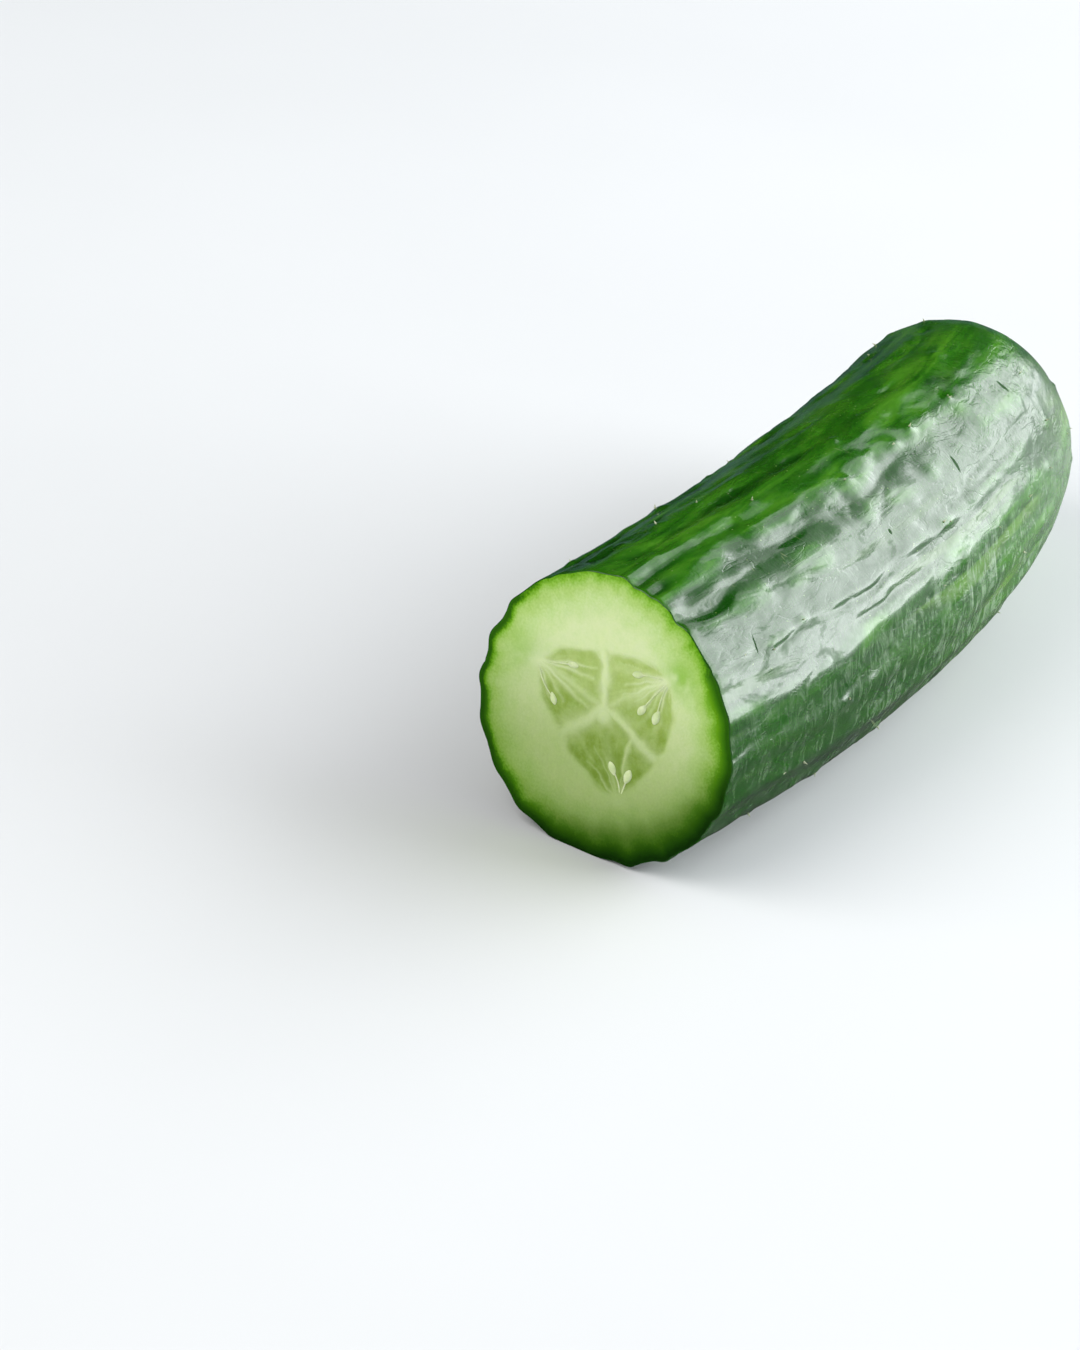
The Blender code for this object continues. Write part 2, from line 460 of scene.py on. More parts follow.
def face_marks(across, up):
    """What the knife laid bare at each point of the cut, as shares from 0 to 1:
    gel, the depth of clear gel; pale, the walls, threads, nodes and star; vein, the green patch
    outside each node; fan, the streaks that spread from each node. The points are moved a
    little by noise first, so that no line is ruled."""
    flat = np.stack([across, up, np.zeros_like(across)], -1)
    x = across + 0.60 * grain(flat / 4.0, 71) + 0.15 * grain(flat / 1.1, 72)
    y = up + 0.60 * grain(flat / 4.0, 73) + 0.15 * grain(flat / 1.1, 74)
    uneven = 1.0 + 0.35 * grain(flat / 2.2, 75)

    walls = (1.0 + ((x - STAR[0]) ** 2 + (y - STAR[1] + 1.4) ** 2) / 2.0**2) ** -2.0
    thread = np.zeros_like(across)
    node = np.zeros_like(across)
    vein = np.zeros_like(across)
    fan = np.zeros_like(across)
    for number, chamber in enumerate(CHAMBERS):
        turn, reach = chamber["node"]
        root = toward(STAR, turn, reach)
        bearing, length = chamber["wall"]
        wall_end = toward(STAR, bearing, length)
        walls = np.maximum(walls, 0.70 * soft_wall(x, y, STAR, wall_end, chamber["wall_width"] * uneven))
        fork = toward(STAR, bearing, length * FORK_START)
        for side in (-FORK_SPREAD, FORK_SPREAD):
            branch = toward(fork, bearing + side, length * FORK_LENGTH)
            walls = np.maximum(walls, chamber["fork"] * soft_wall(x, y, fork, branch, 0.70 * uneven))
        walls = np.maximum(walls, chamber["seam"] * soft_wall(x, y, STAR, root, 1.1 * uneven))
        for swing, reach_in, width, _ in chamber["threads"]:
            end = toward(root, turn + 180.0 + swing, reach_in)
            line = soft_wall(x, y, root, end, width * uneven) * min(1.0, width / 0.30)
            away = np.hypot(x - root[0], y - root[1]) / reach_in
            thread = np.maximum(thread, line * (1.0 - 0.5 * smoothstep(0.4, 1.0, away)))
        glow, glow_radius = chamber["glow"]
        node = np.maximum(node, glow * spot_mark(x, y, toward(STAR, turn, reach + 0.3), glow_radius))
        patch = toward(STAR, turn, reach + PATCH_OFFSET)
        swirl = 0.5 + 0.5 * layered(flat / 1.3, 2, 76 + number)
        stain = chamber["patch"] * spot_mark(across, up, patch, PATCH_RADIUS)
        vein = np.maximum(vein, stain * np.clip(0.5 + swirl, 0.0, 1.0))
        bearing = np.arctan2(y - root[1], x - root[0])
        away = np.hypot(x - root[0], y - root[1])
        spread = away / FAN_RADIUS
        rays = layered(np.stack([bearing * 8.0, spread, 0.0 * away], -1), 2, 81 + number)
        fan = np.maximum(fan, smoothstep(-0.15, 0.75, rays) * np.exp(-(spread**2)))

    side_wall = soft_wall(x, y, toward(STAR, *SIDE_WALL[0]), toward(STAR, *SIDE_WALL[1]), 0.45 * uneven)
    walls = np.maximum(walls, 0.5 * side_wall)
    bearing = np.arctan2(y - STAR[1], x - STAR[0])
    away = np.hypot(x - STAR[0], y - STAR[1])
    edge = away - core_reach(bearing) + 0.5 * grain(flat / 2.6, 77)
    inside = smoothstep(0.75, -0.75, edge)
    cloudy = np.clip(1.15 * walls + 0.9 * node, 0.0, 1.0)
    gel = inside * (1.0 - cloudy)
    pale = np.maximum(inside * np.maximum(np.maximum(0.9 * walls, 0.9 * thread), 0.38 * fan), 0.85 * node)
    return {
        "gel": gel,
        "pale": np.clip(pale, 0.0, 1.0),
        "fan": inside * fan,
        "vein": np.clip(vein, 0.0, 1.0) * (1.0 - inside),
    }


def face_relief(marks, across, up):
    """How far the cut stands proud: gel sinks a little, walls and threads stay up."""
    flat = np.stack([across, up, np.zeros_like(across)], -1)
    height = -0.16 * marks["gel"] + 0.06 * marks["pale"] + 0.03 * marks["fan"]
    return MM * (height + 0.010 * grain(flat / 0.9, 91) + 0.02 * grain(flat / 3.0, 92))


# ---------------------------------------------------------------------------
# Meshes
# ---------------------------------------------------------------------------


def ring_faces(rings, around):
    """Quads between each ring of points and the next, wound so that they face outwards."""
    ring, spot = np.meshgrid(np.arange(rings - 1), np.arange(around), indexing="ij")
    here = ring * around + spot
    beside = ring * around + (spot + 1) % around
    return np.stack([here, here + around, beside + around, beside], -1).reshape(-1, 4)


def add_piece(name, points, quads, triangles, uv=None):
    """A shown mesh object with these points and faces, smooth, resting at the origin. uv is
    the name of a map and one row per face corner, quads first."""
    sides = np.concatenate([np.full(len(quads), 4), np.full(len(triangles), 3)]).astype(np.int32)
    corners = np.concatenate([quads.ravel(), triangles.ravel()]).astype(np.int32)
    mesh = bpy.data.meshes.new(name)
    mesh.vertices.add(len(points))
    mesh.vertices.foreach_set("co", points.astype(np.float32).ravel())
    mesh.loops.add(len(corners))
    mesh.loops.foreach_set("vertex_index", corners)
    mesh.polygons.add(len(sides))
    mesh.polygons.foreach_set("loop_start", np.cumsum(np.append(0, sides[:-1])).astype(np.int32))
    mesh.polygons.foreach_set("loop_total", sides)
    if uv is not None:
        layer = mesh.uv_layers.new(name=uv[0])
        layer.data.foreach_set("uv", uv[1].astype(np.float32).ravel())
    mesh.update(calc_edges=True)
    mesh.validate()
    mesh.shade_smooth()
    piece = bpy.data.objects.new(name, mesh)
    bpy.context.scene.collection.objects.link(piece)
    return piece


def set_attribute(mesh, name, values):
    """One value, or one vector, for each point of the mesh."""
    vector = values.ndim == 2
    layer = mesh.attributes.new(name, "FLOAT_VECTOR" if vector else "FLOAT", "POINT")
    layer.data.foreach_set("vector" if vector else "value", values.astype(np.float32).ravel())


def fan_faces(hub, first, around, begins):
    """Triangles from a hub point to each pair of neighbours in the ring that starts at first.
    The rings either begin at the hub or end in it."""
    spot = np.arange(around)
    here, beside = first + spot, first + (spot + 1) % around
    order = (here, beside) if begins else (beside, here)
    return np.stack([np.full(around, hub), *order], -1)


def fruit_rings(fruit):
    """The fruit as rings of points, from the middle of the cut, over its rim and along the skin
    to the tip. It returns the angles round a ring; the distance, the angle and the place of
    each point of the skin; the radius, the angle and the place of each point of the cut; and
    the places of the rim's own ring."""
    angle = SEAM_ANGLE + np.linspace(0.0, 2.0 * math.pi, AROUND, endpoint=False)
    body_end = BODY_LENGTH - TIP_LENGTH
    first = EDGE_ROUNDING
    along = first + (body_end - first) * np.linspace(0.0, 1.0, BODY_RINGS)
    rise = np.linspace(0.0, 0.5 * math.pi, TIP_RINGS + 1)[1:-1]
    along = np.concatenate([along, body_end + TIP_LENGTH * np.sin(rise)])
    distance, turn = np.meshgrid(along, angle, indexing="ij")
    skin = to_frame(distance, turn, skin_radius(distance, turn, fruit))

    rim = skin_radius(np.zeros_like(angle), angle, fruit) - EDGE_ROUNDING
    count = np.linspace(0.0, 1.0, FACE_RINGS + 1)[1:]
    share = np.interp(count, (0.0, CORE_RINGS_SHARE, 1.0), (0.0, CORE_SHARE, 1.0))
    spread, round_face = np.meshgrid(share, angle, indexing="ij")
    radius = spread * rim
    face = to_frame(np.zeros_like(radius), round_face, radius)
    edge_radius = rim + EDGE_ROUNDING * 0.72
    edge = to_frame(np.full_like(angle, EDGE_ROUNDING * 0.28), angle, edge_radius)
    return angle, distance, turn, skin, radius, round_face, face, edge


def build_fruit(fruit):
    """The whole fruit as one closed mesh, with what its materials read at each point."""
    angle, distance, turn, skin, radius, round_face, face, edge = fruit_rings(fruit)

    across = radius * np.cos(round_face) / MM
    up = radius * np.sin(round_face) / MM
    marks = face_marks(across, up)
    fade = smoothstep(0.0, 1.2, (radius[-1] - radius) / MM)
    face[..., 0] -= face_relief(marks, across, up) * fade

    tip = BODY_LENGTH
    middle = face[0].mean(axis=0, keepdims=True)
    end = to_frame(np.full(1, tip), np.zeros(1), np.zeros(1))
    pull = np.array([math.cos(heading(tip)), math.sin(heading(tip)), 0.0])
    near = np.linalg.norm(skin - end[0], axis=-1)
    dimple = fruit.dimple_depth * np.exp(-((near / DIMPLE_RADIUS) ** 2))
    skin = skin - dimple[..., None] * pull
    end = end - fruit.dimple_depth * pull

    face_count, skin_count = len(face), len(skin)
    rings = np.concatenate([face, edge[None], skin])
    points = np.concatenate([rings.reshape(-1, 3), middle, end])
    quads = ring_faces(len(rings), AROUND)
    hub, pole = len(points) - 2, len(points) - 1
    last = (len(rings) - 1) * AROUND
    triangles = np.concatenate(
        [fan_faces(hub, 0, AROUND, True), fan_faces(pole, last, AROUND, False)]
    )
    layout = unrolled(quads, triangles, points, face_count)
    piece = add_piece("cucumber_fruit", points, quads, triangles, layout)

    mesh = piece.data
    inner = np.zeros(AROUND * (skin_count + 1) + 2)
    for name in ("gel", "pale", "fan", "vein"):
        values = np.concatenate([marks[name].ravel(), inner])
        values[hub] = marks[name][0].mean()
        set_attribute(mesh, name, values)
    depth = np.concatenate([((radius[-1] + EDGE_ROUNDING - radius) / MM).ravel(), inner])
    depth[hub] = depth[0]
    set_attribute(mesh, "rind_depth", depth)

    grown = np.concatenate(
        [
            straight(np.zeros_like(radius), round_face, radius).reshape(-1, 3),
            straight(np.zeros_like(angle), angle, GIRTH_RADII[0]),
            straight(distance, turn, GIRTH_RADII[0] * tip_share(distance)).reshape(-1, 3),
            np.zeros((1, 3)),
            np.array([[tip / MM, 0.0, 0.0]]),
        ]
    )
    set_attribute(mesh, "grown", grown)
    crest = rib_crest(distance, turn)
    face_fill = np.zeros(radius.size + AROUND)
    set_attribute(mesh, "crest", np.concatenate([face_fill, crest.ravel(), [0.5, 0.5]]))
    relief = skin_relief(distance, turn, fruit) / MM
    set_attribute(mesh, "height", np.concatenate([face_fill, relief.ravel(), [0.0, 0.0]]))
    side = np.concatenate([face_fill, np.sin(turn).ravel(), [0.0, 0.0]])
    set_attribute(mesh, "upward", side)

    index = np.zeros(len(mesh.polygons), np.int32)
    index[: (face_count - 1) * AROUND] = 1
    index[len(quads) : len(quads) + AROUND] = 1
    mesh.materials.append(skin_material(fruit))
    mesh.materials.append(flesh_material(fruit))
    mesh.polygons.foreach_set("material_index", index)
    return piece


def unrolled(quads, triangles, points, face_count):
    """The map that a texture of the fruit would use: the skin slit along the underside and laid
    flat in the left two thirds, and the cut face as a disc beside it."""
    skin_wide, disc, disc_middle, tip_part, margin = 0.655, 0.168, (0.83, 0.5), 0.2, 0.01
    corners = np.concatenate([quads.ravel(), triangles.ravel()])
    ring, spot = corners // AROUND, corners % AROUND
    total = len(points) // AROUND
    wide = spot.astype(float)
    square = wide[: quads.size].reshape(-1, 4)
    wraps = square.max(axis=1) - square.min(axis=1) > AROUND / 2
    square[wraps] = np.where(square[wraps] == 0.0, AROUND, square[wraps])
    wedge = wide[quads.size :].reshape(-1, 3)
    wraps = wedge[:, 1:].max(axis=1) - wedge[:, 1:].min(axis=1) > AROUND / 2
    wedge[wraps, 1:] = np.where(wedge[wraps, 1:] == 0.0, AROUND, wedge[wraps, 1:])
    wedge[:, 0] = wedge[:, 1:].mean(axis=1)

    skin_rows = total - face_count
    row = np.clip(ring - face_count, 0, skin_rows).astype(float)
    body = BODY_RINGS + 1
    along = np.where(row <= body, row / body, 1.0 + (row - body) / TIP_RINGS * tip_part)
    high = margin + (1.0 - 2.0 * margin) * along / (1.0 + tip_part)
    skin = np.stack([0.5 * margin + skin_wide * wide / AROUND, high], -1)
    turn = SEAM_ANGLE + 2.0 * math.pi * spot / AROUND
    share = np.where(corners == len(points) - 2, 0.0, (ring + 1.0) / face_count)
    flat = np.stack([np.cos(turn), np.sin(turn)], -1) * disc * np.clip(share, 0.0, 1.0)[:, None]
    flat = flat + disc_middle
    on_face = np.zeros(len(corners), bool)
    on_face[: (face_count - 1) * AROUND * 4] = True
    on_face[quads.size : quads.size + AROUND * 3] = True
    return "OFBake", np.where(on_face[:, None], flat, skin)


# ---------------------------------------------------------------------------
# Materials
# ---------------------------------------------------------------------------


class Nodes:
    """Adds nodes to one tree, left to right."""

    def __init__(self, tree):
        self.tree = tree

    def node(self, kind, settings=None, **inputs):
        """A node of this kind. Inputs are values, or sockets of other nodes to link from."""
        node = self.tree.nodes.new(kind)
        for key, value in (settings or {}).items():
            setattr(node, key, value)
        for key, value in inputs.items():
            self.feed(node.inputs[key.replace("_", " ")], value)
        return node

    def feed(self, socket, value):
        if isinstance(value, bpy.types.NodeSocket):
            self.tree.links.new(value, socket)
        else:
            socket.default_value = value

    def parts(self, vector):
        """The X, Y and Z of a vector."""
        outputs = self.node("ShaderNodeSeparateXYZ", Vector=vector).outputs
        return [outputs[key] for key in "XYZ"]

    def attribute(self, name, output="Fac"):
        return self.node("ShaderNodeAttribute", {"attribute_name": name}).outputs[output]

    def place(self):
        return self.node("ShaderNodeTexCoord").outputs["Object"]

    def scaled(self, vector, scale):
        """The vector and the scale that a texture reads: a scale for each axis is applied to
        the vector and leaves 1."""
        if not isinstance(scale, tuple):
            return vector, scale
        settings = {"vector_type": "POINT"}
        return self.node("ShaderNodeMapping", settings, Vector=vector, Scale=scale).outputs[0], 1.0

    def stroke(self, grown, place, angle, half_length, half_width):
        """1 on a short stroke across the ribs of the unbent fruit, and 0 off it."""
        turn, radius = math.radians(angle), GIRTH_RADII[0] / MM
        node = self.node(
            "ShaderNodeMapping",
            {"vector_type": "TEXTURE"},
            Vector=grown,
            Location=(place, radius * math.cos(turn), radius * math.sin(turn)),
            Rotation=(turn, NICK_LEAN, 0.0),
            Scale=(half_width, NICK_REACH, half_length),
        )
        apart = self.node("ShaderNodeVectorMath", {"operation": "LENGTH"}, Vector=node.outputs[0])
        return self.between(apart.outputs["Value"], 0.6, 1.05, 1.0, 0.0)

    def noise(self, vector, scale, detail=2.0, roughness=0.5, distortion=0.0):
        vector, scale = self.scaled(vector, scale)
        node = self.node(
            "ShaderNodeTexNoise",
            Vector=vector,
            Scale=scale,
            Detail=detail,
            Roughness=roughness,
            Distortion=distortion,
        )
        return node.outputs["Fac"]

    def cells(self, vector, scale, feature="F1"):
        """The distance from the middles of scattered cells, or from their edges."""
        vector, scale = self.scaled(vector, scale)
        node = self.node("ShaderNodeTexVoronoi", {"feature": feature}, Vector=vector, Scale=scale)
        return node.outputs["Distance"]

    def math(self, operation, *numbers, clamp=False):
        """One operation, worked from left to right through the numbers."""
        total = numbers[0]
        for number in numbers[1:] or (0.0,):
            node = self.node("ShaderNodeMath", {"operation": operation, "use_clamp": clamp})
            self.feed(node.inputs[0], total)
            self.feed(node.inputs[1], number)
            total = node.outputs[0]
        return total

    def times(self, *numbers):
        return self.math("MULTIPLY", *numbers)

    def plus(self, *numbers):
        return self.math("ADD", *numbers)

    def most(self, *numbers):
        return self.math("MAXIMUM", *numbers)

    def between(self, value, low, high, start=0.0, end=1.0):
        """start below low, end above high, and a smooth step between."""
        node = self.node("ShaderNodeMapRange", {"interpolation_type": "SMOOTHSTEP"}, Value=value)
        for key, number in (("From Min", low), ("From Max", high), ("To Min", start), ("To Max", end)):
            node.inputs[key].default_value = number
        return node.outputs["Result"]

    def ramp(self, value, stops, blend="LINEAR"):
        """A colour ramp through (place, colour) stops."""
        node = self.node("ShaderNodeValToRGB", Fac=value)
        node.color_ramp.interpolation = blend
        line = node.color_ramp.elements
        while len(line) < len(stops):
            line.new(0.5)
        for element, (place, colour) in zip(line, stops, strict=True):
            element.position = place
            element.color = (*colour[:3], 1.0)
        return node.outputs["Color"]

    def mix(self, share, first, second, blend="MIX"):
        """first turning into second by share."""
        node = self.node("ShaderNodeMix", {"data_type": "RGBA", "blend_type": blend})
        self.feed(node.inputs["Factor"], share)
        for key, value in ((6, first), (7, second)):
            if not isinstance(value, bpy.types.NodeSocket):
                value = (*value[:3], 1.0)
            self.feed(node.inputs[key], value)
        return node.outputs[2]

    def grained(self, colour, noise, dark, light):
        """The colour made a little darker and lighter by a noise; 0.5 leaves it as it is."""
        shade = self.ramp(noise, ((0.3, (dark,) * 3), (0.7, (light,) * 3)))
        return self.mix(0.5, colour, shade, "OVERLAY")

    def bumps(self, *layers):
        """Bumps laid one on another: the height, strength and distance in millimetres of each."""
        normal = None
        for height, strength, distance in layers:
            node = self.node("ShaderNodeBump", Strength=strength, Distance=distance * MM, Height=height)
            if normal is not None:
                self.feed(node.inputs["Normal"], normal)
            normal = node.outputs["Normal"]
        return normal


class Recipe(Nodes):
    """Builds one material."""

    def __init__(self, name):
        self.material = bpy.data.materials.new(name)
        self.material.use_nodes = True
        super().__init__(self.material.node_tree)
        self.tree.nodes.clear()
        self.shader = self.node("ShaderNodeBsdfPrincipled")
        self.node("ShaderNodeOutputMaterial", Surface=self.shader.outputs["BSDF"])

    def surface(self, **inputs):
        """The material, its shader's inputs set or linked; their names have _ for a space."""
        for key, value in inputs.items():
            self.feed(self.shader.inputs[key.replace("_", " ")], value)
        return self.material


def skin_material(fruit):
    """Dark green waxy skin, its colours laid one on another: a mottle, painted shade in the hollows,
    stripes, a pale tip, the knife's edge, specks, scuffs, painted shade on the lower flank near the cut, a
    fibrous pale wax dust on the lower flank that is partly real and partly a painted reflection of the
    floor, with a painted sheen towards the tip, and nicks. A thin clear wax wears off in patches and
    towards the tip."""
    make = Recipe("waxy_green_skin")
    grown = make.attribute("grown", "Vector")
    crest, height, upward = (make.attribute(name) for name in ("crest", "height", "upward"))
    along, side, _ = make.parts(grown)

    mottle = make.noise(grown, (0.045, 0.24, 0.24), 4.0, 0.62, 0.6)
    blotch = make.noise(grown, (0.10, 0.22, 0.22), 3.0, 0.6)
    greens = ((0.30, fruit.skin_dark_and_shade), (0.50, fruit.skin_green), (0.70, fruit.skin_light))
    colour = make.ramp(mottle, greens)
    colour = make.mix(make.between(blotch, 0.45, 0.70, 0.0, 0.30), colour, fruit.skin_light)
    # Painted shade: the skin is darkened in the hollows of its relief.
    colour = make.mix(make.between(height, -0.38, 0.0, 0.90, 0.0), colour, fruit.skin_dark_and_shade)

    stripe = make.times(
        make.between(crest, 0.02, 0.16, 1.0, 0.0),
        make.between(make.noise(grown, (0.02, 0.16, 0.16), 2.0, 0.5), 0.50, 0.62),
        make.between(upward, 0.0, 0.7, 0.50, 0.05),
        make.between(along, 0.0, 60.0, 0.4, 1.0),
    )
    colour = make.mix(stripe, colour, fruit.stripe_green)
    tip_pale = make.times(
        make.between(along, 118.0, 160.0, 0.0, 0.45),
        make.between(mottle, 0.35, 0.65),
        make.between(upward, 0.6, 0.95, 1.0, 0.1),
    )
    colour = make.mix(tip_pale, colour, fruit.stripe_green)
    colour = make.mix(make.between(along, 0.0, 1.6, 0.6, 0.0), colour, fruit.rim_green)

    speck = make.between(make.cells(grown, (0.50, 0.8, 0.8)), 0.04, 0.10, 0.65, 0.0)
    speck = make.times(speck, make.between(blotch, 0.40, 0.60))
    colour = make.mix(speck, colour, fruit.speck_green)
    scuff = make.noise(grown, (0.9, 0.25, 0.25), 6.0, 0.7, 1.5)
    colour = make.mix(make.between(scuff, 0.64, 0.69, 0.0, 0.30), colour, fruit.scuff_tan)
    colour = make.grained(colour, make.noise(grown, (0.8, 1.6, 1.6), 4.0, 0.65), 0.42, 0.58)
    # Painted shade: the lower flank is darkened, most near the cut and fading towards the tip.
    low = make.times(make.between(upward, 0.0, 0.5, 1.0, 0.0), make.between(along, 20.0, 110.0, 0.8, 0.1))
    colour = make.mix(low, colour, fruit.skin_dark_and_shade)

    fibre = make.noise(grown, (0.42, 0.17, 0.17), 8.0, 0.70, 1.6)
    crumbs = make.noise(grown, (0.22, 0.34, 0.34), 5.0, 0.66, 1.0)
    # Pale wax dust on the lower flank: partly real, partly a painted reflection of the floor in fibrous
    # wisps, and towards the tip a painted sheen.
    bloom_and_reflection = make.times(make.between(fibre, 0.43, 0.68), make.between(crumbs, 0.36, 0.62, 0.25, 1.0))
    tip_bloom_and_sheen = make.times(make.between(along, 85.0, 140.0), make.between(crumbs, 0.30, 0.64, 0.18, 0.58))
    bloom_and_reflection = make.times(
        make.most(bloom_and_reflection, tip_bloom_and_sheen),
        make.between(upward, 0.15, 0.60, 1.0, 0.0),
        make.between(along, 5.0, 90.0, 0.28, 1.0),
        make.between(side, -6.0, 6.0, 0.45, 1.0),
    )
    colour = make.mix(bloom_and_reflection, colour, fruit.bloom_and_reflection_grey)
    nick = make.most(*(make.stroke(grown, *row) for row in NICKS))
    colour = make.mix(make.times(nick, 0.8), colour, fruit.skin_dark_and_shade)
    smooth = make.math("SUBTRACT", 1.0, nick)

    rub = make.noise(grown, (0.16, 0.35, 0.35), 5.0, 0.65, 0.8)
    rough = make.plus(make.between(rub, 0.35, 0.70, 0.15, 0.26), make.times(bloom_and_reflection, 0.25))
    worn = make.plus(
        make.noise(grown, (0.06, 0.22, 0.22), 5.0, 0.62, 0.8),
        make.times(make.between(upward, 0.72, 0.92), make.between(along, 35.0, 75.0, 1.0, 0.0), 0.10),
    )
    wax = make.times(
        make.between(along, 30.0, 125.0, 1.0, 0.2),
        make.between(rub, 0.35, 0.70, 1.0, 0.75),
        make.between(worn, 0.55, 0.64, 1.0, 0.22),
        smooth,
    )
    line = make.math("SUBTRACT", make.noise(grown, (0.10, 0.30, 0.30), 3.0, 0.5, 0.7), 0.5)
    line = make.most(
        make.between(make.math("ABSOLUTE", line), 0.0, 0.05),
        make.between(make.noise(grown, (0.12, 0.20, 0.20), 3.0, 0.6), 0.42, 0.58),
        make.between(upward, 0.95, 0.99),
    )
    creases = make.noise(grown, (0.28, 0.45, 0.45), 5.0, 0.55, 0.6)
    crossing = make.noise(grown, (1.3, 0.35, 0.35), 4.0, 0.6, 0.8)
    pores = make.cells(grown, (2.2, 2.6, 2.6))
    normal = make.bumps(
        (line, 0.45, 0.15),
        (creases, 0.36, 0.34),
        (crossing, 0.30, 0.16),
        (fibre, 0.10, 0.15),
        (pores, 0.08, 0.08),
        (smooth, 0.6, 0.15),
    )
    return make.surface(
        Base_Color=colour,
        Roughness=make.most(rough, make.times(nick, 0.7)),
        Coat_Weight=wax,
        IOR=1.45,
        Specular_IOR_Level=0.18,
        Coat_Roughness=0.13,
        Coat_IOR=1.52,
        Subsurface_Weight=0.12,
        Subsurface_Radius=(0.3, 1.0, 0.1),
        Subsurface_Scale=1.0 * MM,
        Normal=normal,
    )


def flesh_material(fruit):
    """Wet cut flesh. Its colour goes by depth under the skin, from the dark edge over a lime rind to pale
    flesh, along a ragged line that runs nearer the skin at the inner side and at the top, where this is a
    painted glow of light through the skin. Green patches, clear gel and pale walls and threads lie over
    it, with a grain like cut cells. Painted shade darkens it towards the bottom, and a painted shadow
    darkens it most near the skin at the bottom, on the side of the outer bend."""
    make = Recipe("wet_cut_flesh")
    grown = make.attribute("grown", "Vector")
    depth, gel = make.attribute("rind_depth"), make.attribute("gel")
    _, across, height = make.parts(grown)
    speckle = make.noise(grown, 2.4, 4.0, 0.7)
    cloud = make.noise(grown, 0.30, 3.0, 0.55)

    ragged = make.plus(
        depth,
        make.between(speckle, 0.25, 0.75, -0.30, 0.30),
        make.between(cloud, 0.3, 0.7, -0.5, 0.5),
        # Painted glow of light through the skin: towards the top the green rind is drawn thinner and
        # paler.
        make.between(height, 8.0, 23.0, 0.0, 1.9),
        make.between(height, -22.0, 2.0, -1.2, -0.75),
        make.between(across, 12.0, 24.0, 0.0, -0.5),
        make.times(make.between(across, -22.0, -8.0, 1.0, 0.0), make.between(depth, 0.5, 2.5), 1.5),
    )
    ragged = make.most(ragged, make.times(depth, 0.55))
    colour = make.ramp(
        make.math("DIVIDE", ragged, 10.0),
        (
            (0.04, fruit.rim_green),
            (0.08, fruit.rind_green),
            (0.13, fruit.rind_lime),
            (0.21, fruit.rind_pale),
            (0.32, fruit.flesh_lime),
            (0.52, fruit.flesh_green),
            (0.85, fruit.flesh_pale),
        ),
    )
    mottle = make.between(make.noise(grown, 0.55, 4.0, 0.6), 0.35, 0.75, 0.0, 0.35)
    colour = make.mix(mottle, colour, fruit.flesh_mottle, "MULTIPLY")
    colour = make.mix(make.times(make.attribute("vein"), 0.85), colour, fruit.rind_pale)

    clear = make.times(
        gel,
        make.between(make.noise(grown, 0.45, 3.0, 0.6), 0.3, 0.7, 0.35, 1.0),
        make.between(height, -4.0, 10.0, 1.25, 0.60),
    )
    clear = make.math("SUBTRACT", clear, make.times(make.attribute("fan"), 0.45), clamp=True)
    gel_tint = make.mix(clear, fruit.gel_light, fruit.gel_deep)
    colour = make.mix(gel, colour, gel_tint, "MULTIPLY")
    colour = make.mix(make.times(make.attribute("pale"), 0.84), colour, fruit.thread_pale)

    # Painted shade: the flesh is darkened towards the bottom.
    colour = make.mix(make.between(height, -12.0, 14.0, 1.0, 0.0), colour, fruit.painted_under_shade, "MULTIPLY")
    # Painted shadow: the flesh is darkest near the skin at the bottom, on the side of the outer bend.
    deep = make.math("SUBTRACT", make.times(across, 0.48), make.times(height, 0.94))
    deep = make.times(make.between(deep, 3.0, 24.0), make.between(depth, 1.0, 13.0, 1.0, 0.2))
    painted_shadow_stops = (
        (spot, [1.0 + (part - 1.0) * share for part in fruit.painted_foot_shadow])
        for spot, share in ((0.05, 0.0), (0.35, 0.25), (0.65, 0.75), (0.95, 1.0))
    )
    colour = make.mix(1.0, colour, make.ramp(deep, list(painted_shadow_stops)), "MULTIPLY")
    return make.surface(
        Base_Color=make.grained(colour, speckle, 0.44, 0.56),
        Roughness=make.between(gel, 0.0, 0.8, 0.45, 0.22),
        IOR=1.33,
        Specular_IOR_Level=0.25,
        Subsurface_Weight=0.8,
        Subsurface_Radius=(0.9, 1.0, 0.45),
        Subsurface_Scale=0.7 * MM,
        Normal=make.bumps((speckle, 0.20, 0.10), (make.cells(grown, 3.2), 0.10, 0.08)),
    )


def seed_material(seeds):
    """Soft pale seeds, greener in patches, with hardly a shine."""
    make = Recipe("soft_pale_seed")
    patches = make.noise(make.place(), 900.0, 3.0, 0.6)
    return make.surface(
        Base_Color=make.ramp(patches, ((0.3, seeds.edge_colour), (0.65, seeds.seed_colour))),
        Roughness=make.between(patches, 0.3, 0.7, 0.30, 0.44),
        Specular_IOR_Level=0.03,
        Subsurface_Weight=0.5,
        Subsurface_Radius=(0.9, 1.0, 0.5),
        Subsurface_Scale=0.25 * MM,
        Normal=make.bumps((patches, 0.2, 0.05)),
    )


def cork_material(name, dark, light):
    """Dry cork: cracked and mottled between two browns."""
    make = Recipe(name)
    place = make.place()
    patches = make.noise(place, 1400.0, 4.0, 0.65)
    cracks = make.cells(place, 1100.0, "DISTANCE_TO_EDGE")
    colour = make.ramp(patches, ((0.32, dark), (0.68, light)))
    return make.surface(
        Base_Color=make.mix(make.between(cracks, 0.02, 0.10, 0.6, 0.0), colour, dark),
        Roughness=make.between(patches, 0.3, 0.7, 0.6, 0.85),
        Normal=make.bumps((patches, 0.5, 0.10), (cracks, 0.4, 0.08)),
    )


# ---------------------------------------------------------------------------
# Small pieces
# ---------------------------------------------------------------------------


